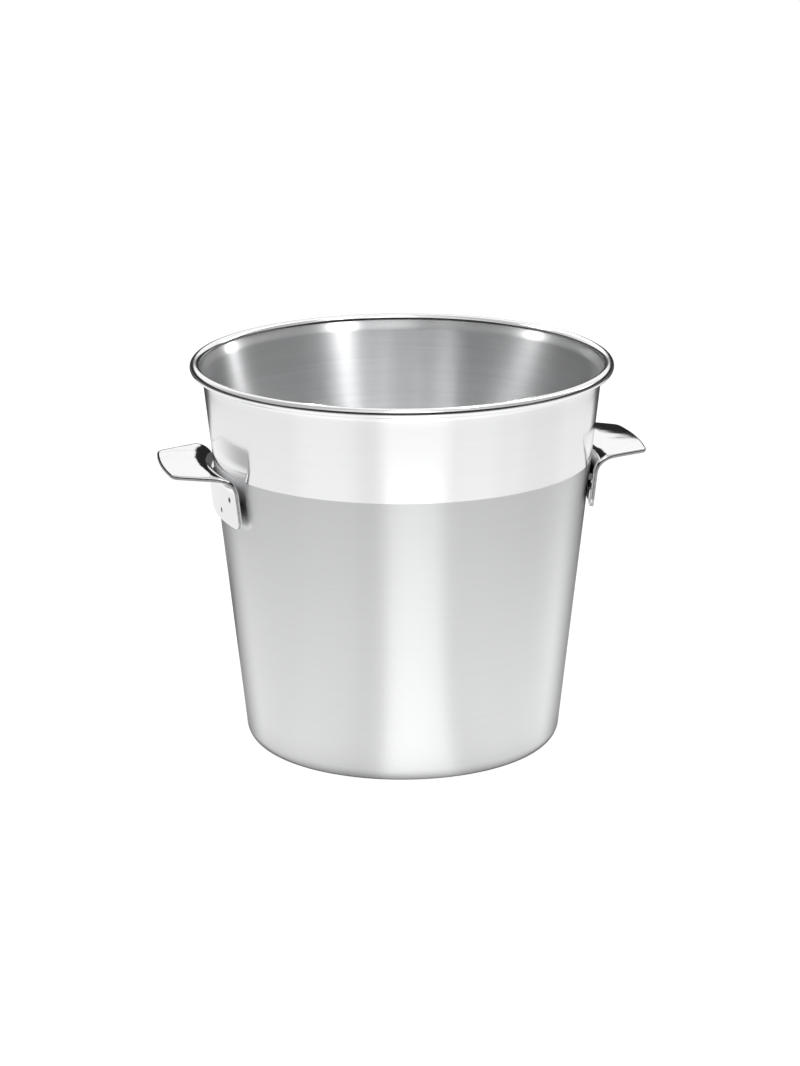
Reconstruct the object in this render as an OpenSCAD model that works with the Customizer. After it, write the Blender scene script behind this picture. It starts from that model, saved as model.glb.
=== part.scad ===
// Champagne bucket: a deep-drawn, tapered sheet-steel bucket with a rolled rim, and two
// pressed sheet handles that are projection-welded to its wall.
// Frame: +Z up, origin on the axis at the height of the surface it stands on, handles on -X and +X.

/* [Bucket] */
// Overall height of the bucket
bucket_h = 204.4; // [180:0.2:230]
// Diameter over the rolled rim
rim_d = 220; // [215:1:225]
// Outer diameter of the straight wall, carried down to the base plane
wall_base_d = 164.2; // [158:0.2:168]
// How far the wall leans out for each millimetre of height
wall_taper = 0.1091; // [0.1000:0.0001:0.1120]
// Thickness of the bucket's sheet
sheet_t = 0.8; // [0.6:0.1:1.2]
// Outer radius of the corner between wall and base
corner_r = 8.5; // [6:0.5:12]
// Diameter of the recessed panel in the base
recess_d = 132; // [110:1:140]
// Height of the recessed panel above the surface the bucket stands on
recess_h = 1.2; // [0.8:0.1:2]
// Length of the step between the standing ring and the recessed panel
recess_step = 2.4; // [1.5:0.1:4]

/* [Rolled rim] */
// Radius of the rolled bead
bead_r = 2.7; // [2.4:0.1:3]
// Height over which the wall flares out into the bead
flare_h = 6; // [4:0.5:8]
// Share of a full turn that the bead is rolled through
bead_turn = 0.8; // [0.6:0.05:0.85]

/* [Handles] */
// Thickness of the handle's sheet
handle_t = 2.5; // [1.8:0.1:3]
// Gap between the handle's back and the wall, held open by the welds
handle_gap = 0.35; // [0.2:0.05:0.6]
// Width of the plate that lies against the wall
plate_w = 75; // [56:1:78]
// Height of the plate's lower edge
plate_z = 127.5; // [110:0.5:132]
// Radius of the plate's lower corners
plate_corner_r = 5; // [3:0.5:8]
// Height of the tab's upper face
tab_z = 156.2; // [152:0.2:165]
// Distance from the axis to the middle of the tab's outer edge
tab_reach = 127.4; // [122:0.2:132]
// Width of the tab at its outer corners
tab_tip_w = 52; // [44:1:62]
// Radius of the tab's outer corners
tab_corner_r = 6; // [3:0.5:9]
// Radius of the bend between plate and tab, on the upper face
bend_r = 11; // [8:0.5:14]
// How much larger the handle's curve is than the bucket's
handle_flatten = 32; // [0:1:40]

/* [Welds] */
// Diameter of the punch mark in front of each weld
dimple_d = 2.4; // [1.8:0.1:3]
// Depth of the punch mark
dimple_depth = 1.1; // [0.6:0.1:1.4]
// Diameter of each weld nugget
nugget_d = 3.4; // [2.6:0.1:4]
// Angle of the upper pair of welds from the middle of the handle
upper_weld_angle = 17; // [14:0.5:18]
// Height of the upper pair of welds
upper_weld_z = 142.5; // [140:0.5:144]
// Angle of the lower pair of welds from the middle of the handle
lower_weld_angle = 8.5; // [6:0.5:11]
// Height of the lower pair of welds
lower_weld_z = 133.5; // [132:0.5:136]

/* [Hidden] */
$fn = 96;
satin_steel = [0.76, 0.77, 0.78];
polished_steel = [0.88, 0.89, 0.90];
weld_grey = [0.55, 0.56, 0.58];

arc_step = 10;                        // degrees between points on an arc
fine_fn = 720;                        // facets on the two cones that are only a gap apart
wall_lean = atan(wall_taper);         // the wall's angle from the vertical
bead_x = rim_d / 2 - bead_r;          // centre of the bead's section
bead_z = bucket_h - bead_r;
flare_z = bead_z - flare_h;           // where the flare leaves the straight wall
corner_x = wall_x(corner_r) - corner_r / cos(wall_lean);
ring_x = recess_d / 2 + recess_step;  // inner edge of the standing ring
weld_spots = [
    [upper_weld_angle, upper_weld_z], [-upper_weld_angle, upper_weld_z],
    [lower_weld_angle, lower_weld_z], [-lower_weld_angle, lower_weld_z]
];

// Outer radius of the straight wall at a height
function wall_x(z) = wall_base_d / 2 + wall_taper * z;

// Radius of the handle's back face at a height, in the middle of the handle
function back_x(z) = wall_x(z) + handle_gap / cos(wall_lean);

// Points along an arc, both ends included
function arc(centre, r, from, to) =
    let (n = ceil(abs(to - from) / arc_step))
    [for (i = [0:n]) let (a = from + (to - from) * i / n) centre + r * [cos(a), sin(a)]];

// Smooth S from 0 to 1
function ease(t) = t * t * (3 - 2 * t);

// The same outline with each corner rounded by its own radius; corners run anticlockwise
function rounded(corners, radii) = [
    for (i = [0:len(corners) - 1])
        let (n = len(corners),
             p = corners[i],
             before = corners[(i + n - 1) % n] - p,
             after = corners[(i + 1) % n] - p,
             a = before / norm(before),
             b = after / norm(after),
             half = acos(a * b) / 2,
             r = radii[i],
             middle = (a + b) / norm(a + b),
             centre = p + middle * r / sin(half),
             start = atan2(-middle[1], -middle[0]) - (90 - half))
        each r == 0 ? [p] : arc(centre, r, start, start + 2 * (90 - half))
];

// Line of one face of the bucket's sheet, from the axis to the bead's free edge; the face lies a
// given depth behind the outer one
function sheet_face(depth) =
    let (lean_depth = depth / cos(wall_lean), flare_shift = bead_x - bead_r - wall_x(bead_z) + sheet_t)
    concat(
        [[0, recess_h + depth], [recess_d / 2, recess_h + depth], [ring_x, depth]],
        arc([corner_x, corner_r], corner_r - depth, -90, -wall_lean),
        [for (i = [0:4]) let (t = i / 5, z = flare_z + flare_h * t)
            [wall_x(z) - lean_depth + flare_shift * ease(t), z]],
        arc([bead_x, bead_z], bead_r - sheet_t + depth, 180, 180 - 360 * bead_turn)
    );

function reversed(list) = [for (i = [len(list) - 1:-1:0]) list[i]];

// Section of the handle's sheet: up the wall, over the bend and out along the tab
module handle_section() {
    bend_z = tab_z - bend_r;
    bend_x = back_x(bend_z) + bend_r / cos(wall_lean);
    low_z = plate_z - 1;
    polygon(concat(
        [[back_x(low_z), low_z]],
        arc([bend_x, bend_z], bend_r, 180 - wall_lean, 90),
        [[tab_reach, tab_z], [tab_reach, tab_z - handle_t]],
        arc([bend_x, bend_z], bend_r - handle_t, 90, 180 - wall_lean),
        [[back_x(low_z) + handle_t / cos(wall_lean), low_z]]
    ));
}

// Outline of the handle seen from above, on the +X side
module plan_outline() {
    inner_x = wall_x(0) / 2;
    shoulder_x = wall_x(tab_z) + handle_t;
    tip_y = tab_tip_w / 2;
    tip_angle = asin(tip_y / (tab_reach + handle_flatten));
    tip_x = (tab_reach + handle_flatten) * cos(tip_angle) - handle_flatten;
    apex_x = tip_x + tip_y * tan(tip_angle);
    shoulder_r = 3 * tab_corner_r;
    polygon(rounded(
        [[inner_x, -plate_w / 2], [shoulder_x, -plate_w / 2], [tip_x, -tip_y], [apex_x, 0],
         [tip_x, tip_y], [shoulder_x, plate_w / 2], [inner_x, plate_w / 2]],
        [0, shoulder_r, tab_corner_r, 0, tab_corner_r, shoulder_r, 0]
    ));
}

// Outline of the handle seen along the bucket's radius
module front_outline() {
    top_z = tab_z + 1;
    polygon(rounded(
        [[-plate_w / 2, plate_z], [plate_w / 2, plate_z], [plate_w / 2, top_z], [-plate_w / 2, top_z]],
        [plate_corner_r, plate_corner_r, 0, 0]
    ));
}

// Turns a section about the handle's own axis, which lies behind the bucket's
module about_handle_axis($fn = fine_fn) {
    translate([-handle_flatten, 0, 0]) rotate_extrude() translate([handle_flatten, 0]) children();
}

// Everything within a face that lies a given distance in front of the handle's back
module within_plate(in_front) {
    top_z = tab_z;
    about_handle_axis() polygon([
        [-handle_flatten, 0], [back_x(0) + in_front, 0],
        [back_x(top_z) + in_front, top_z], [-handle_flatten, top_z]
    ]);
}

// Round bars along the bucket's radius through the handle's four welds
module weld_bars(d) {
    inner_x = wall_x(0);
    for (spot = weld_spots)
        rotate([0, 0, spot[0]]) translate([inner_x, 0, spot[1]]) rotate([0, 90, 0])
            cylinder(d = d, h = tab_reach - inner_x);
}

// One handle, on the +X side
module handle() {
    difference() {
        intersection() {
            about_handle_axis() handle_section();
            linear_extrude(tab_z + 1) plan_outline();
            rotate([90, 0, 90]) linear_extrude(tab_reach + 1) front_outline();
        }
        difference() {
            weld_bars(dimple_d);
            within_plate(handle_t / cos(wall_lean) - dimple_depth);
        }
    }
}

// The four nuggets that bridge the gap behind one handle, on the +X side
module weld_nuggets() {
    difference() {
        intersection() {
            weld_bars(nugget_d);
            within_plate(0);
        }
        cylinder(r1 = wall_x(0), r2 = wall_x(bucket_h), h = bucket_h, $fn = fine_fn);
    }
}

module bucket_shell() {
    color(satin_steel) rotate_extrude() polygon(concat(sheet_face(0), reversed(sheet_face(sheet_t))));
}

module handle_right() {
    color(polished_steel) handle();
}

module handle_left() {
    color(polished_steel) rotate([0, 0, 180]) handle();
}

module weld_nuggets_right() {
    color(weld_grey) weld_nuggets();
}

module weld_nuggets_left() {
    color(weld_grey) rotate([0, 0, 180]) weld_nuggets();
}

bucket_shell();
handle_left();
handle_right();
weld_nuggets_left();
weld_nuggets_right();
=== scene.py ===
"""Champagne bucket: the looks of the bucket, its two handles and their welds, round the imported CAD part.

Lengths in the tables are in millimetres, as in the CAD source, and become metres when a mesh is made.
"""

import math

import bmesh
import bpy
import numpy as np
from mathutils import Matrix, Vector


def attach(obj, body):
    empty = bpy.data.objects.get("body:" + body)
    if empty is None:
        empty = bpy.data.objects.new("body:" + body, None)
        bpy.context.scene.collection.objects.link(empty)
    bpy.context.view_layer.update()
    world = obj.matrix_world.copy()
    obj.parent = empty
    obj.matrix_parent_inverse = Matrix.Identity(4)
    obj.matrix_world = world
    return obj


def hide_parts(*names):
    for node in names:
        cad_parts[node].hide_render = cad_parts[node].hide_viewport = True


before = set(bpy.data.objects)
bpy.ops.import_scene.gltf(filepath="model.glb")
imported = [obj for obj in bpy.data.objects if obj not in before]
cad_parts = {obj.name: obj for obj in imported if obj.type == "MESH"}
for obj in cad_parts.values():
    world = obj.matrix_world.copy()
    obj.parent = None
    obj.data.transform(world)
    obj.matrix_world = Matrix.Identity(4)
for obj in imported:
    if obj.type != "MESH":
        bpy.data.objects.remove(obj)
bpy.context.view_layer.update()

MM = 0.001
BODY = "root"

# ---------------------------------------------------------------- sizes, in millimetres
# The bucket, as in the CAD source
BUCKET_H = 204.4
RIM_D = 220
WALL_BASE_D = 164.2
WALL_TAPER = 0.1091
SHEET_T = 0.8
CORNER_R = 8.5
RECESS_D = 132
RECESS_H = 1.2
RECESS_STEP = 2.4
BEAD_R = 2.7
FLARE_H = 6
BEAD_TURN = 0.8
POLISH_Z = 153.5        # where the polished band meets the satin wall
SEGMENTS = 256          # facets round the bucket

# One handle, on the +X side
HANDLE_T = 2.5
HANDLE_GAP = 0.35
PLATE_W = 75
PLATE_Z = 127.5
PLATE_CORNER_R = 5
TAB_Z = 156.2
TAB_REACH = 127.4
TAB_TIP_W = 52
TAB_CORNER_R = 6
SHOULDER_R = 18
BEND_R = 11
HANDLE_FLATTEN = 32
EDGE_R = 0.35           # rounding of the cut edge on the plate's front and the tab's underside
ROLL_R = 1.3            # and on its other face, where the punch drew the sheet in
# How far each polished tab falls away at its tip, and towards its two sides
LEFT_DOME, RIGHT_DOME = (0.0, 0.1), (0.65, 0.65)
DIMPLE_R = 1.35
DIMPLE_DEPTH = 1.2
WELDS = ((17, 142.5), (8.5, 133.5))   # degrees from the handle's middle, height

WALL_LEAN = math.atan(WALL_TAPER)


def wall_x(z):
    """Outer radius of the bucket's straight wall at a height."""
    return WALL_BASE_D / 2 + WALL_TAPER * z


def ease(t):
    """Smooth S from 0 to 1."""
    t = np.clip(t, 0, 1)
    return t * t * (3 - 2 * t)


def arc(cx, cz, r, start, end, steps):
    """Points along an arc, angles in degrees, both ends included."""
    angles = np.radians(np.linspace(start, end, steps + 1))
    return [(cx + r * math.cos(a), cz + r * math.sin(a)) for a in angles]


# ---------------------------------------------------------------- meshes
def make_object(name, verts, faces, materials, face_materials=None):
    """A smooth-shaded mesh object from vertices in millimetres."""
    mesh = bpy.data.meshes.new(name)
    mesh.from_pydata([tuple(c * MM for c in v) for v in verts], [], faces)
    for material in materials:
        mesh.materials.append(material)
    if face_materials is not None:
        mesh.polygons.foreach_set("material_index", face_materials)
    mesh.polygons.foreach_set("use_smooth", [True] * len(mesh.polygons))
    mesh.validate()
    mesh.update()
    obj = bpy.data.objects.new(name, mesh)
    bpy.context.scene.collection.objects.link(obj)
    return obj


def sheet_face(depth):
    """One face of the bucket's sheet, from the axis to the bead's free edge, as (x, z, zone)."""
    lean_depth = depth / math.cos(WALL_LEAN)
    bead_x, bead_z = RIM_D / 2 - BEAD_R, BUCKET_H - BEAD_R
    tube_r = BEAD_R - SHEET_T + depth
    bead_start = 180 - math.degrees(WALL_LEAN)
    bead_low_z = bead_z + tube_r * math.sin(math.radians(bead_start))
    flare_z = bead_low_z - FLARE_H
    flare_out = bead_x + tube_r * math.cos(math.radians(bead_start)) - (wall_x(bead_low_z) - lean_depth)
    corner_x = wall_x(CORNER_R) - CORNER_R / math.cos(WALL_LEAN)

    points = [(RECESS_D / 2 * t, RECESS_H + depth, "base") for t in (0, 0.04, 0.15, 0.35, 0.6, 0.85, 0.97)]
    step_x = RECESS_D / 2
    for t in np.linspace(0, 1, 9):
        points.append((step_x + RECESS_STEP * t, RECESS_H * (1 - ease(t)) + depth, "base"))
    points += [(x, z, "wall") for x, z in arc(corner_x, CORNER_R, CORNER_R - depth,
                                              -90, -math.degrees(WALL_LEAN), 20)]
    heights = [30, 60, 90, 120, 145, POLISH_Z, 160, 175, flare_z - 4]
    points += [(wall_x(z) - lean_depth, z, "wall" if z <= POLISH_Z else "band") for z in heights]
    for t in np.linspace(0, 1, 13)[:-1]:
        z = flare_z + FLARE_H * t
        points.append((wall_x(z) - lean_depth + flare_out * ease(t), z, "band"))
    bead_end = 180 - 360 * BEAD_TURN
    points += [(x, z, "bead") for x, z in arc(bead_x, bead_z, tube_r, bead_start, bead_end, 56)]
    return points


def make_shell(materials):
    """The bucket's sheet turned about its axis: outside, rolled bead and inside in one closed skin."""
    outside, inside = sheet_face(0), sheet_face(SHEET_T)
    outside_slot = {"wall": 0, "band": 1, "bead": 1, "base": 3}
    inside_slot = {"wall": 2, "band": 2, "bead": 1, "base": 3}
    profile = [(x, z, outside_slot[zone]) for x, z, zone in outside]
    profile += [(x, z, inside_slot[zone]) for x, z, zone in reversed(inside)]
    ring_angles = [2 * math.pi * k / SEGMENTS for k in range(SEGMENTS)]
    verts, rings = [], []
    for x, z, _ in profile:
        if x < 1e-6:
            rings.append([len(verts)])
            verts.append((0, 0, z))
            continue
        rings.append(list(range(len(verts), len(verts) + SEGMENTS)))
        verts += [(x * math.cos(a), x * math.sin(a), z) for a in ring_angles]
    faces, face_materials = [], []
    for i in range(len(rings) - 1):
        low, high = rings[i], rings[i + 1]
        material = profile[i + 1][2] if i + 1 < len(outside) else profile[i][2]
        for k in range(SEGMENTS):
            n = (k + 1) % SEGMENTS
            if len(low) == 1:
                faces.append((low[0], high[n], high[k]))
            elif len(high) == 1:
                faces.append((low[k], low[n], high[0]))
            else:
                faces.append((low[k], low[n], high[n], high[k]))
            face_materials.append(material)
    return make_object("bucket_shell_sheet", verts, faces, materials, face_materials)


# ---------------------------------------------------------------- handles
# Corners of the handle's outline seen from above: the side of the plate, then a straight taper to the tip
SHOULDER_X = wall_x(TAB_Z) + HANDLE_T
TIP_ANGLE = math.asin(TAB_TIP_W / 2 / (TAB_REACH + HANDLE_FLATTEN))
TIP_X = (TAB_REACH + HANDLE_FLATTEN) * math.cos(TIP_ANGLE) - HANDLE_FLATTEN
SIDE_DIR = np.array([TIP_X - SHOULDER_X, TAB_TIP_W / 2 - PLATE_W / 2])
SIDE_DIR = SIDE_DIR / np.linalg.norm(SIDE_DIR)
SIDE_OUT = np.array([-SIDE_DIR[1], SIDE_DIR[0]])
SIDE_FROM = np.array([SHOULDER_X, PLATE_W / 2])

# Middle surface of the sheet: up the plate, round the bend, out along the tab
BEND_Z = TAB_Z - BEND_R
BEND_X = wall_x(BEND_Z) + (HANDLE_GAP + BEND_R) / math.cos(WALL_LEAN)
MID_R = BEND_R - HANDLE_T / 2
PLATE_TOP_Z = BEND_Z + MID_R * math.sin(WALL_LEAN)
PLATE_LEN = (PLATE_TOP_Z - PLATE_Z) / math.cos(WALL_LEAN)
BEND_LEN = MID_R * (math.pi / 2 - WALL_LEAN)
TAB_LEN = TAB_REACH - BEND_X
SECTION_LEN = PLATE_LEN + BEND_LEN + TAB_LEN


def corner_centre():
    """Centre of the tab's outer corner, which touches its side and its curved tip."""
    inner_r = TAB_REACH + HANDLE_FLATTEN - TAB_CORNER_R
    low, high = 0.0, 40.0
    for _ in range(50):
        mid = (low + high) / 2
        p = SIDE_FROM + SIDE_DIR * mid - SIDE_OUT * TAB_CORNER_R
        if math.hypot(p[0] + HANDLE_FLATTEN, p[1]) < inner_r:
            low = mid
        else:
            high = mid
    return p


TIP_CENTRE = corner_centre()
SHOULDER_CENTRE = np.array([
    SHOULDER_X - SHOULDER_R * math.tan(math.acos(SIDE_OUT[1]) / 2), PLATE_W / 2 - SHOULDER_R])


def inside_outline(x, y, z, inset):
    """Whether a point of the sheet, y at least 0, lies within the handle's outline moved in by inset."""
    p = np.array([x, y])
    if y > PLATE_W / 2 - inset or (p - SIDE_FROM) @ SIDE_OUT > -inset:
        return False
    tip_out = (TIP_CENTRE + [HANDLE_FLATTEN, 0]) / np.linalg.norm(TIP_CENTRE + [HANDLE_FLATTEN, 0])
    for centre, r, out_a, out_b in ((SHOULDER_CENTRE, SHOULDER_R, np.array([0, 1.0]), SIDE_OUT),
                                    (TIP_CENTRE, TAB_CORNER_R, SIDE_OUT, tip_out)):
        a, b = np.linalg.solve(np.column_stack([out_a, out_b]), p - centre)
        if a > 0 and b > 0 and np.linalg.norm(p - centre) > r - inset:
            return False
    low_y, low_z = PLATE_W / 2 - PLATE_CORNER_R, PLATE_Z + PLATE_CORNER_R
    return not (y > low_y and z < low_z and math.hypot(y - low_y, z - low_z) > PLATE_CORNER_R - inset)


def section(u):
    """Place and facing of the middle surface a way u along its section: x, z and the angle it faces."""
    u = np.asarray(u, float)
    lean = WALL_LEAN
    x0 = BEND_X - MID_R * math.cos(lean) - PLATE_LEN * math.sin(lean)
    turn = np.pi - lean - np.clip((u - PLATE_LEN) / MID_R, 0, BEND_LEN / MID_R)
    x = np.where(u < PLATE_LEN, x0 + u * math.sin(lean), BEND_X + MID_R * np.cos(turn))
    z = np.where(u < PLATE_LEN, PLATE_Z + u * math.cos(lean), BEND_Z + MID_R * np.sin(turn))
    return x + np.clip(u - PLATE_LEN - BEND_LEN, 0, None), z, turn


def sheet_point(u, y, dome):
    """Point of the middle surface: the section turned about the handle's own axis, the tab domed."""
    droop, crown = dome
    x, z, _ = section(u)
    plan_x = np.sqrt((x + HANDLE_FLATTEN) ** 2 - y ** 2) - HANDLE_FLATTEN
    out = np.clip((x - BEND_X) / (TAB_REACH - BEND_X), 0, None)
    side = np.clip((x - wall_x(TAB_Z)) / (TAB_REACH - wall_x(TAB_Z)), 0, None)
    fall = droop * out ** 2 + crown * ease(side) * (2 * y / PLATE_W) ** 2
    return np.stack([plan_x, y, z - fall], axis=-1)


def sheet_normal(u, y, dome):
    """Unit normal of the middle surface on the side that faces the wall and then up."""
    h = 1e-3
    along = sheet_point(u + h, y, dome) - sheet_point(u - h, y, dome)
    across = sheet_point(u, y + h, dome) - sheet_point(u, y - h, dome)
    n = np.cross(along, across)
    return n / np.linalg.norm(n, axis=-1, keepdims=True)


def half_width(u, inset):
    """Half the width of the handle at u, along the sheet's curve, with every edge moved in by inset."""
    x, z, _ = section(u)
    low, high = 0.0, PLATE_W / 2
    for _ in range(40):
        mid = (low + high) / 2
        plan_x = math.sqrt((x + HANDLE_FLATTEN) ** 2 - mid ** 2) - HANDLE_FLATTEN
        if inside_outline(plan_x, mid, float(z), inset):
            low = mid
        else:
            high = mid
    return low


def clustered(stops, fine_at, fine, reach):
    """Values at the given stops, with extra ones a fine step apart within reach of each of fine_at."""
    values = list(stops)
    for centre in fine_at:
        values = [v for v in values if abs(v - centre) > reach]
        values += list(centre + np.arange(-reach, reach + fine / 2, fine))
    return np.array(sorted(values))


def weld_places():
    """Where the welds are on the plate: way along the section and y."""
    places = []
    for angle, z in WELDS:
        u = (z - PLATE_Z) / math.cos(WALL_LEAN)
        rho = float(section(u)[0]) + HANDLE_FLATTEN
        c, f = math.cos(math.radians(angle)), HANDLE_FLATTEN
        r = -f * c + math.sqrt((f * c) ** 2 - f * f + rho * rho)
        places.append((u, r * math.sin(math.radians(angle))))
    return places


# Spacing of the mesh's rows, in millimetres; they are closer round each punch mark and at both ends
PLATE_ROW, TAB_ROW, MARK_ROW = 1.5, 1.2, 0.25
MARK_ZONE = 2.0
END_ZONE = 5
BEND_ROWS = 26
COLUMNS = 57


def handle_mesh_data(dome):
    """One handle's vertices, its faces, and the faces of its punch marks and of its sheared edge.

    The two faces of the sheet are joined by that edge, which is rounded on both sides.
    """
    places = weld_places()
    end_spread = [END_ZONE * (1 - math.cos(math.radians(a))) for a in range(0, 90, 9)]
    first, last = ROLL_R, SECTION_LEN - ROLL_R
    stops = [first + e for e in end_spread] + [last - e for e in end_spread]
    stops += list(np.arange(first + END_ZONE + 0.5, PLATE_LEN - 1, PLATE_ROW))
    stops += list(np.linspace(PLATE_LEN - 0.5, PLATE_LEN + BEND_LEN + 0.5, BEND_ROWS))
    stops += list(np.arange(PLATE_LEN + BEND_LEN + TAB_ROW, last - END_ZONE, TAB_ROW))
    us = clustered(stops, [u for u, _ in places], MARK_ROW, MARK_ZONE)
    reference = half_width(PLATE_LEN / 2, ROLL_R)
    marks = [sign * y / reference for _, y in places for sign in (-1, 1)]
    ws = clustered(np.linspace(-1, 1, COLUMNS), marks, MARK_ROW / reference, MARK_ZONE / reference)
    widths = np.array([half_width(u, ROLL_R) for u in us])

    u_grid = np.repeat(us[:, None], len(ws), axis=1)
    y_grid = widths[:, None] * ws[None, :]
    middle, normal = sheet_point(u_grid, y_grid, dome), sheet_normal(u_grid, y_grid, dome)
    dent = np.zeros_like(u_grid)
    for u, y in places:
        for sign in (-1, 1):
            off = np.hypot(u_grid - u, y_grid - sign * y)
            dent += DIMPLE_DEPTH * (1 - ease((off - 0.45 * DIMPLE_R) / (0.65 * DIMPLE_R)))
    back = middle + normal * HANDLE_T / 2
    front = middle - normal * (HANDLE_T / 2 - dent)[..., None]

    rows, cols = u_grid.shape
    count = rows * cols
    verts = [tuple(v) for v in back.reshape(-1, 3)] + [tuple(v) for v in front.reshape(-1, 3)]
    faces, marked = [], []
    for i in range(rows - 1):
        for j in range(cols - 1):
            a, b, c, d = i * cols + j, i * cols + j + 1, (i + 1) * cols + j + 1, (i + 1) * cols + j
            faces.append((a, b, c, d))
            faces.append((count + a, count + d, count + c, count + b))
            if dent[i, j] > 0.05 and dent[i + 1, j + 1] > 0.05:
                marked.append(len(faces) - 1)
    loop = [(0, j) for j in range(cols)] + [(i, cols - 1) for i in range(1, rows)]
    loop += [(rows - 1, j) for j in range(cols - 2, -1, -1)] + [(i, 0) for i in range(rows - 2, 0, -1)]
    edge = np.array([middle[i, j] for i, j in loop])
    facing = np.array([normal[i, j] for i, j in loop])
    tangent = np.roll(edge, -1, axis=0) - np.roll(edge, 1, axis=0)
    outward = np.cross(tangent, facing)
    outward /= np.linalg.norm(outward, axis=1, keepdims=True)
    if (outward[0] @ (middle[0, 0] - middle[rows // 2, cols // 2])) < 0:
        outward = -outward
    half_t = HANDLE_T / 2
    rolled = [(half_t - ROLL_R + ROLL_R * math.cos(t), ROLL_R * math.sin(t))
              for t in np.radians(range(10, 91, 10))]
    trimmed = [(EDGE_R - half_t - EDGE_R * math.cos(t), ROLL_R - EDGE_R + EDGE_R * math.sin(t))
               for t in np.radians(range(90, -1, -18))]
    sheared = []
    previous = [i * cols + j for i, j in loop]
    for ring, (lift, out) in enumerate(rolled + trimmed):
        start = len(verts)
        verts += [tuple(v) for v in edge + facing * lift + outward * out]
        current = list(range(start, start + len(loop)))
        if ring >= len(rolled):
            sheared += range(len(faces), len(faces) + len(loop))
        faces += ring_faces(previous, current)
        previous = current
    faces += ring_faces(previous, [count + i * cols + j for i, j in loop])
    return verts, faces, marked, sheared


def ring_faces(a, b):
    """Quads between two closed loops of the same length."""
    n = len(a)
    return [(a[k], b[k], b[(k + 1) % n], a[(k + 1) % n]) for k in range(n)]


def face_outwards(obj):
    """Turns every face of a closed mesh outwards."""
    bm = bmesh.new()
    bm.from_mesh(obj.data)
    bmesh.ops.recalc_face_normals(bm, faces=bm.faces)
    bm.to_mesh(obj.data)
    bm.free()


# ---------------------------------------------------------------- materials
MARK_DRIFT = 12                 # how often per metre a brushed mark changes along its own length
MARK_SHARES = (0.30, 0.35, 0.35)
MARK_DEPTH = 0.00002            # metres
CLOUDS = 22.0                   # per metre
PAINTED_EDGE_SHADE_END = 0.96               # how far a face has turned away where the painted edge shade stops deepening
# Painted shade: the tint that the satin wall and the band fade to at their outline
PAINTED_EDGE_SHADE_TONE = (0.12, 0.12, 0.12, 1)
QUARTER_TURN = 0.25


class Nodes:
    """Short calls for building a node tree."""

    def __init__(self, tree):
        self.tree = tree
        self.nodes, self.links = tree.nodes, tree.links

    def put(self, target, value):
        if isinstance(value, bpy.types.NodeSocket):
            self.links.new(value, target)
        else:
            target.default_value = value

    def math(self, operation, *values, clamp=False):
        node = self.nodes.new("ShaderNodeMath")
        node.operation, node.use_clamp = operation, clamp
        for socket, value in zip(node.inputs, values):
            self.put(socket, value)
        return node.outputs[0]

    def vector(self, operation, *values):
        node = self.nodes.new("ShaderNodeVectorMath")
        node.operation = operation
        for socket, value in zip(node.inputs, values):
            self.put(socket, value)
        return node.outputs["Value" if operation in ("DOT_PRODUCT", "LENGTH") else "Vector"]

    def ramp(self, value, low, high, out_low=0.0, out_high=1.0):
        """A smooth step of value from low to high."""
        node = self.nodes.new("ShaderNodeMapRange")
        node.interpolation_type = "SMOOTHSTEP"
        for name, v in zip(("Value", "From Min", "From Max", "To Min", "To Max"),
                           (value, low, high, out_low, out_high)):
            self.put(node.inputs[name], v)
        return node.outputs["Result"]

    def scaled(self, vector, scale):
        node = self.nodes.new("ShaderNodeMapping")
        self.put(node.inputs["Vector"], vector)
        node.inputs["Scale"].default_value = scale
        return node.outputs["Vector"]

    def noise(self, vector, scale, detail=2.0, roughness=0.5):
        node = self.nodes.new("ShaderNodeTexNoise")
        self.put(node.inputs["Vector"], vector)
        node.inputs["Scale"].default_value = scale
        node.inputs["Detail"].default_value = detail
        node.inputs["Roughness"].default_value = roughness
        return node.outputs["Fac"]

    def mix_color(self, fac, a, b):
        node = self.nodes.new("ShaderNodeMix")
        node.data_type = "RGBA"
        self.put(node.inputs[0], fac)
        self.put(node.inputs[6], a)
        self.put(node.inputs[7], b)
        return node.outputs[2]

    def bumped(self, height, strength, depth):
        node = self.nodes.new("ShaderNodeBump")
        node.inputs["Strength"].default_value = strength
        node.inputs["Distance"].default_value = depth
        self.put(node.inputs["Height"], height)
        return node.outputs["Normal"]

    def xyz(self, vector):
        node = self.nodes.new("ShaderNodeSeparateXYZ")
        self.put(node.inputs[0], vector)
        return node.outputs

    def object_place(self):
        return self.nodes.new("ShaderNodeTexCoord").outputs["Object"]


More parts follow.
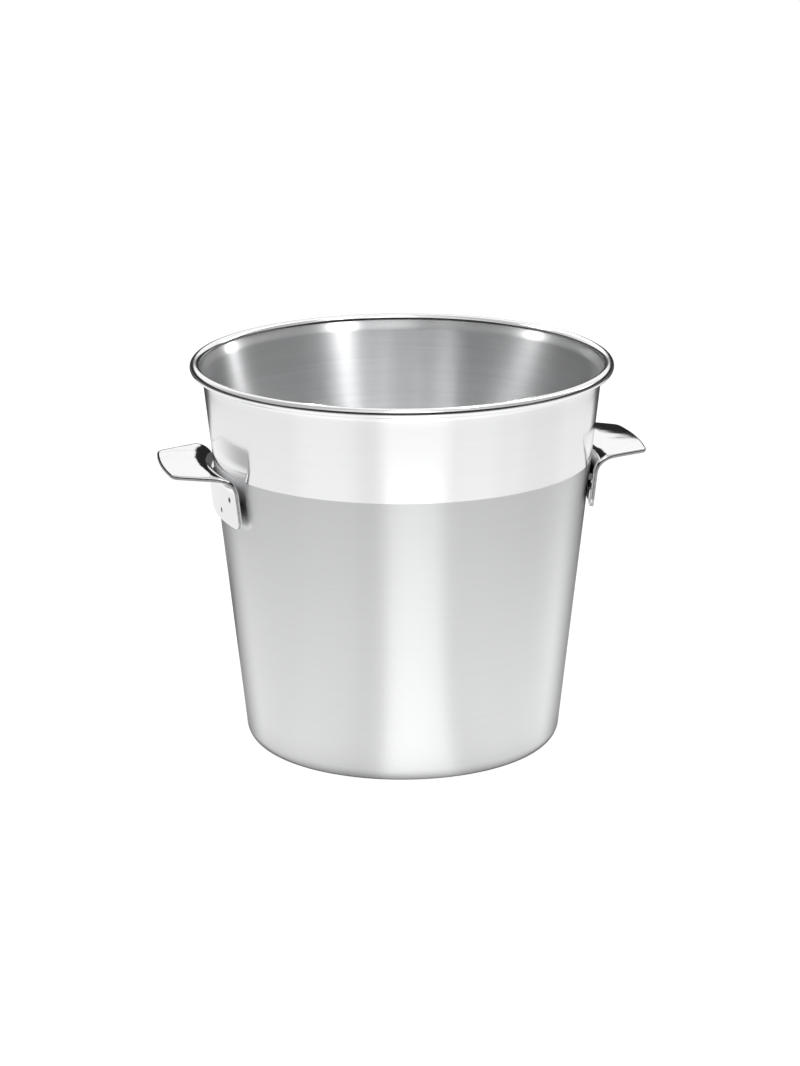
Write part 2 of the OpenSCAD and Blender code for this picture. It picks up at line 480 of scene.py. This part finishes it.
def steel(name, tint, marks, roughness, rough_vary, tone_vary, anisotropy, bump, disc=False, painted_edge_shade_from=None):
    """Steel with fine marks that run round the bucket's axis.

    marks: how many cross a metre of the surface, for the broad, the middle and the fine set.
    rough_vary, tone_vary: how far the marks and clouds move the roughness and the tint.
    disc: the marks are rings on a flat base, so they follow the radius and not the height.
    glance: how far a face has turned away (1 is edge-on) where a painted shade begins to darken its tint
    towards the outline.
    """
    material = bpy.data.materials.new(name)
    material.use_nodes = True
    n = Nodes(material.node_tree)
    shader = n.nodes["Principled BSDF"]
    place = n.object_place()
    if disc:
        x, y, z = n.xyz(place)
        radius = n.vector("LENGTH", n.vector("MULTIPLY", place, (1, 1, 0)))
        join = n.nodes.new("ShaderNodeCombineXYZ")
        for socket, value in zip(join.inputs, (x, y, radius)):
            n.put(socket, value)
        place = join.outputs[0]
    sets = [n.noise(n.scaled(place, (MARK_DRIFT, MARK_DRIFT, per_metre)), 1.0, 3.0, 0.6)
            for per_metre in marks]
    mixed = 0.0
    for one_set, share in zip(sets, MARK_SHARES):
        mixed = n.math("MULTIPLY_ADD", one_set, share, mixed)
    cloud = n.noise(place, CLOUDS, 3.0, 0.55)

    dark = tuple(c * (1 - tone_vary) for c in tint) + (1,)
    light = tuple(min(1.0, c * (1 + tone_vary)) for c in tint) + (1,)
    tone = n.mix_color(n.ramp(mixed, 0.38, 0.62), dark, light)
    # Painted shade: the tint darkens as the face turns edge-on, towards the outline
    if painted_edge_shade_from:
        weight = n.nodes.new("ShaderNodeLayerWeight")
        weight.inputs["Blend"].default_value = 0.5
        tone = n.mix_color(n.ramp(weight.outputs["Facing"], painted_edge_shade_from, PAINTED_EDGE_SHADE_END), tone, PAINTED_EDGE_SHADE_TONE)
    n.put(shader.inputs["Base Color"], tone)
    spread = n.math("MULTIPLY_ADD", mixed, 2 * rough_vary, roughness - rough_vary)
    spread = n.math("MULTIPLY_ADD", cloud, rough_vary, spread)
    n.put(shader.inputs["Roughness"], n.math("SUBTRACT", spread, 0.5 * rough_vary))
    shader.inputs["Metallic"].default_value = 1.0
    shader.inputs["Anisotropic"].default_value = anisotropy
    shader.inputs["Anisotropic Rotation"].default_value = QUARTER_TURN
    tangent = n.nodes.new("ShaderNodeTangent")
    tangent.direction_type, tangent.axis = "RADIAL", "Z"
    n.put(shader.inputs["Tangent"], tangent.outputs[0])
    n.put(shader.inputs["Normal"], n.bumped(mixed, bump, MARK_DEPTH))
    return material


def polished_steel():
    """Hand-polished pressing: a mirror with slow waves from the polishing mop and hairline wear."""
    material = bpy.data.materials.new("polished handle steel")
    material.use_nodes = True
    n = Nodes(material.node_tree)
    shader = n.nodes["Principled BSDF"]
    place = n.object_place()
    waves = n.noise(place, 70.0, 1.0, 0.4)
    hairlines = n.noise(n.scaled(place, (250, 2500, 900)), 1.0, 2.0, 0.6)
    wear = n.ramp(hairlines, 0.56, 0.74)
    n.put(shader.inputs["Base Color"], n.mix_color(wear, (0.93, 0.93, 0.935, 1), (0.86, 0.86, 0.87, 1)))
    n.put(shader.inputs["Roughness"], n.math("MULTIPLY_ADD", wear, 0.05, 0.045))
    shader.inputs["Metallic"].default_value = 1.0
    n.put(shader.inputs["Normal"], n.bumped(waves, 0.3, 0.0004))
    return material


def dull_steel(name, dark, light):
    """Dull, grainy metal of the welds, the punch marks and the handles' sheared edges."""
    material = bpy.data.materials.new(name)
    material.use_nodes = True
    n = Nodes(material.node_tree)
    shader = n.nodes["Principled BSDF"]
    grain = n.noise(n.object_place(), 900.0, 4.0, 0.6)
    n.put(shader.inputs["Base Color"], n.mix_color(n.ramp(grain, 0.35, 0.65), dark, light))
    n.put(shader.inputs["Roughness"], n.ramp(grain, 0.3, 0.7, 0.4, 0.65))
    shader.inputs["Metallic"].default_value = 1.0
    return material


# ---------------------------------------------------------------- camera
AIM = Vector((0, 0, 0.1105))
CAMERA_DISTANCE = 1.8
CAMERA_AZIMUTH = math.radians(-12.8)
CAMERA_ELEVATION = 0.282        # radians
CAMERA_ROLL = -0.003
FOCAL = 3.208161                # as a share of the frame's height
SHIFT_X, SHIFT_Y = -0.0022, -0.0009
TO_CAMERA = Vector((math.sin(CAMERA_AZIMUTH), -math.cos(CAMERA_AZIMUTH), 0))
TO_RIGHT = Vector((math.cos(CAMERA_AZIMUTH), math.sin(CAMERA_AZIMUTH), 0))


def make_camera():
    """The camera, at the photo's view angle and framing."""
    data = bpy.data.cameras.new("camera")
    camera = bpy.data.objects.new("camera", data)
    bpy.context.scene.collection.objects.link(camera)
    data.sensor_width = 36
    data.sensor_fit = "AUTO"
    data.lens = FOCAL * data.sensor_width
    data.shift_x, data.shift_y = SHIFT_X, SHIFT_Y
    back = TO_CAMERA * math.cos(CAMERA_ELEVATION) + Vector((0, 0, math.sin(CAMERA_ELEVATION)))
    camera.rotation_mode = "QUATERNION"
    camera.location = AIM + back * CAMERA_DISTANCE
    turn = (-back).to_track_quat("-Z", "Y").to_matrix() @ Matrix.Rotation(CAMERA_ROLL, 3, "Z")
    camera.rotation_quaternion = turn.to_quaternion()
    data.clip_start, data.clip_end = 0.05, 50
    bpy.context.scene.camera = camera


# ---------------------------------------------------------------- studio
# What the metal sees of the studio; to the camera, floor and sky are plain white.
# Directions are degrees to the camera's right, and each entry of a table begins with its direction,
# half its width and half the softness of its sides, followed by its gain.
NEAR_LEVEL, FAR_LEVEL = 0.90, 0.78      # glow of the floor near the bucket and further out
NEAR_FAR = (0.28, 0.40)                 # metres from the axis between which the one turns into the other
FOOT_SHADOW_LEVEL = 0.15                       # share of the glow that is left under the bucket, a painted shadow
FOOT_SHADOW_SPAN = (0.075, 0.10)                    # metres from the axis between which that painted shadow ends
FLOOR_MATT = 0.12                       # how much of the lamps' light the floor returns
TABLE_CENTRE = TO_CAMERA * -0.04
TABLE_EDGE = (0.60, 0.68)               # metres from that centre where the lit floor ends
DARK_LEVEL = 0.02                       # of the dark band between floor and ceiling
SKY_LEVEL = 0.50
SKY_FRONT, SKY_BACK = 30, 13.5          # degrees above level where the pale ceiling begins
SKY_FRONT_SPAN = (0, 55, 20)
SKY_SOFT = 0.012                        # softness of that edge, as a sine
STRIP_LOW = 33                          # degrees above level where the bright strip begins
STRIP_SOFT = 3
SKY_WIDE = ((0, 45, 28, 0.35), (180, 45, 25, 0.50), (121, 5, 4, 1.6))
SKY_STRIPS = ((7, 15, 5, 1.0),)

# After the gain: metres from the axis between which the floor is brighter or shaded
ANYWHERE = 2.0
RING_SOFT = 0.06
FLOOR_GLOWS = (
    (7, 18, 5, 0.15, 0, ANYWHERE), (7, 14, 4, 0.26, 0, 0.38), (-43, 12, 10, 0.06, 0, ANYWHERE),
    (-16, 5, 5, -0.04, 0, ANYWHERE), (40, 10, 8, 0.05, 0, ANYWHERE), (85, 12, 8, -0.05, 0, ANYWHERE),
)
FLOOR_SHADES = (
    (158, 10, 8, 0.9, 0.40, ANYWHERE), (-158, 10, 8, 0.9, 0.60, ANYWHERE),
    (-150, 13, 6, 0.9, 0.12, 0.28), (164, 7, 3, 0.8, 0.12, ANYWHERE),
)

# Lamps that each put one bright band on the inside: metres to the right, back and up, width, length, watts
MOUTH_LAMPS = (
    (0.10, 0.0, 0.48, 0.01, 0.02, 0.72),
    (-0.061, 0.113, 0.33, 0.01, 0.01, 0.13),
    (0.068, 0.163, 0.280, 0.01, 0.01, 0.15),
)


def azimuth_share(n, heading, degrees, half, soft):
    """1 where the level direction heading is within half of the azimuth, 0 outside."""
    a = math.radians(degrees)
    aim = TO_CAMERA * math.cos(a) + TO_RIGHT * math.sin(a)
    cosine = n.vector("DOT_PRODUCT", heading, tuple(aim))
    outer, inner = math.cos(math.radians(half + soft)), math.cos(math.radians(max(0, half - soft)))
    return n.ramp(cosine, outer, inner)


def ring_share(n, distance, start, end):
    """1 where a distance from the axis lies between two others, 0 elsewhere."""
    inner = n.ramp(distance, start, start + RING_SOFT)
    return n.math("MULTIPLY", inner, n.ramp(distance, end, end + RING_SOFT, 1.0, 0.0))


def make_world():
    """A pale ceiling over a dark band, seen by the metal only."""
    world = bpy.data.worlds.new("studio")
    bpy.context.scene.world = world
    world.use_nodes = True
    n = Nodes(world.node_tree)
    direction = n.nodes.new("ShaderNodeTexCoord").outputs["Generated"]
    heading = n.vector("NORMALIZE", n.vector("MULTIPLY", direction, (1, 1, 0)))
    height = n.xyz(direction)[2]
    front = azimuth_share(n, heading, *SKY_FRONT_SPAN)
    back_top = math.sin(math.radians(SKY_BACK))
    top = n.math("MULTIPLY_ADD", front, math.sin(math.radians(SKY_FRONT)) - back_top, back_top)
    sky = n.ramp(n.math("SUBTRACT", height, top), -SKY_SOFT, SKY_SOFT)
    level = n.math("MULTIPLY_ADD", sky, SKY_LEVEL - DARK_LEVEL, DARK_LEVEL)
    strip_sky = n.ramp(height, math.sin(math.radians(STRIP_LOW - STRIP_SOFT)),
                       math.sin(math.radians(STRIP_LOW + STRIP_SOFT)))
    for entries, area in ((SKY_WIDE, sky), (SKY_STRIPS, strip_sky)):
        for degrees, half, soft, gain in entries:
            share = azimuth_share(n, heading, degrees, half, soft)
            level = n.math("MULTIPLY_ADD", n.math("MULTIPLY", share, area), gain, level)
    seen = n.nodes.new("ShaderNodeLightPath").outputs["Is Camera Ray"]
    level = n.math("MAXIMUM", level, seen)
    n.nodes["Background"].inputs["Color"].default_value = (1, 1, 1, 1)
    n.put(n.nodes["Background"].inputs["Strength"], level)


def make_floor():
    """A plain white floor; the glow that the metal sees of it varies with direction and distance."""
    steps, rings = 96, (0.15, 0.6, 2.0, 12.0)
    verts, faces = [(0, 0, 0)], []
    for r in rings:
        verts += [(r * math.cos(2 * math.pi * k / steps), r * math.sin(2 * math.pi * k / steps), 0)
                  for k in range(steps)]
    for k in range(steps):
        faces.append((0, 1 + k, 1 + (k + 1) % steps))
    for i in range(len(rings) - 1):
        low, high = 1 + i * steps, 1 + (i + 1) * steps
        for k in range(steps):
            after = (k + 1) % steps
            faces.append((low + k, high + k, high + after, low + after))
    material = bpy.data.materials.new("floor")
    floor = make_object("floor", [tuple(c / MM for c in v) for v in verts], faces, [material])

    material.use_nodes = True
    n = Nodes(material.node_tree)
    n.nodes.remove(n.nodes["Principled BSDF"])
    place = n.object_place()
    flat = n.vector("MULTIPLY", place, (1, 1, 0))
    distance = n.vector("LENGTH", flat)
    heading = n.vector("NORMALIZE", flat)
    level = n.ramp(distance, *NEAR_FAR, NEAR_LEVEL, FAR_LEVEL)
    for degrees, half, soft, gain, start, end in FLOOR_GLOWS:
        share = azimuth_share(n, heading, degrees, half, soft)
        glow = n.math("MULTIPLY", share, ring_share(n, distance, start, end))
        level = n.math("MULTIPLY_ADD", glow, gain, level)
    from_table = n.vector("LENGTH", n.vector("SUBTRACT", flat, tuple(TABLE_CENTRE)))
    level = n.math("MULTIPLY", level, n.ramp(from_table, *TABLE_EDGE, 1.0, DARK_LEVEL))
    for degrees, half, soft, gain, start, end in FLOOR_SHADES:
        share = azimuth_share(n, heading, degrees, half, soft)
        shade = n.math("MULTIPLY", share, ring_share(n, distance, start, end))
        level = n.math("MULTIPLY", level, n.math("MULTIPLY_ADD", shade, -gain, 1.0))
    # Painted shadow: the glow that the metal sees falls away under the bucket
    level = n.math("MULTIPLY", level, n.ramp(distance, *FOOT_SHADOW_SPAN, FOOT_SHADOW_LEVEL, 1.0))
    seen = n.nodes.new("ShaderNodeLightPath").outputs["Is Camera Ray"]
    emission = n.nodes.new("ShaderNodeEmission")
    n.put(emission.inputs["Strength"], n.math("MAXIMUM", level, seen))
    matt = n.nodes.new("ShaderNodeBsdfDiffuse")
    matt.inputs["Color"].default_value = (FLOOR_MATT, FLOOR_MATT, FLOOR_MATT, 1)
    both = n.nodes.new("ShaderNodeAddShader")
    n.links.new(emission.outputs[0], both.inputs[0])
    n.links.new(matt.outputs[0], both.inputs[1])
    n.links.new(both.outputs[0], n.nodes["Material Output"].inputs["Surface"])


def make_mouth_lamp(right, back, height, width, length, watts):
    """A small lamp above the mouth or just behind it, hidden from the camera."""
    data = bpy.data.lights.new("mouth lamp", "AREA")
    data.shape = "RECTANGLE"
    data.size, data.size_y = width, length
    data.energy = watts
    lamp = bpy.data.objects.new("mouth lamp", data)
    bpy.context.scene.collection.objects.link(lamp)
    lamp.location = TO_RIGHT * right - TO_CAMERA * back + Vector((0, 0, height))
    lamp.rotation_euler = (0, 0, CAMERA_AZIMUTH)
    lamp.visible_camera = False


# ---------------------------------------------------------------- assembly
# The satin wall and the polished band carry a painted shade at their outline
wall_steel = steel("satin wall steel", (0.95, 0.955, 0.96), (400, 1800, 5000), roughness=0.38,
                   rough_vary=0.02, tone_vary=0.012, anisotropy=0.95, bump=0.15, painted_edge_shade_from=0.58)
band_steel = steel("polished band steel", (0.93, 0.932, 0.935), (40, 300, 2500), roughness=0.13,
                   rough_vary=0.02, tone_vary=0.01, anisotropy=0.5, bump=0.05, painted_edge_shade_from=0.82)
# The inside's tint is darker than the wall's: painted shade for the inside of the bucket
shaded_inner_steel = steel("brushed inside steel with painted shade", (0.74, 0.745, 0.75), (250, 1200, 4000), roughness=0.34,
                    rough_vary=0.03, tone_vary=0.04, anisotropy=1.0, bump=0.3)
# The base's tint is darker still: painted shade for the bucket's floor and underside
shaded_base_steel = steel("spun base steel with painted shade", (0.60, 0.605, 0.61), (250, 1200, 4000), roughness=0.40,
                   rough_vary=0.04, tone_vary=0.05, anisotropy=0.85, bump=0.3, disc=True)

shell = make_shell([wall_steel, band_steel, shaded_inner_steel, shaded_base_steel])
face_outwards(shell)
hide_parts("bucket_shell")
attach(shell, BODY)

handle_steel = polished_steel()
nugget_steel = dull_steel("weld steel", (0.34, 0.33, 0.32, 1), (0.52, 0.50, 0.47, 1))
edge_steel = dull_steel("sheared edge steel", (0.52, 0.53, 0.53, 1), (0.68, 0.69, 0.69, 1))
mark_steel = dull_steel("punch mark steel", (0.05, 0.05, 0.05, 1), (0.12, 0.115, 0.11, 1))
for side, sign, dome in (("right", 1, RIGHT_DOME), ("left", -1, LEFT_DOME)):
    handle_verts, handle_faces, marked, sheared = handle_mesh_data(dome)
    face_materials = np.zeros(len(handle_faces), int)
    face_materials[marked] = 1
    face_materials[sheared] = 2
    turned = [(sign * x, sign * y, z) for x, y, z in handle_verts]
    handle = make_object(f"handle_{side}_pressing", turned, handle_faces,
                         [handle_steel, mark_steel, edge_steel], face_materials.tolist())
    face_outwards(handle)
    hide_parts(f"handle_{side}")
    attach(handle, BODY)

for side in ("left", "right"):
    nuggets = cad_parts[f"weld_nuggets_{side}"]
    nuggets.data.materials.clear()
    nuggets.data.materials.append(nugget_steel)

make_camera()
make_world()
make_floor()
for lamp in MOUTH_LAMPS:
    make_mouth_lamp(*lamp)
bpy.context.scene.view_settings.view_transform = "Standard"
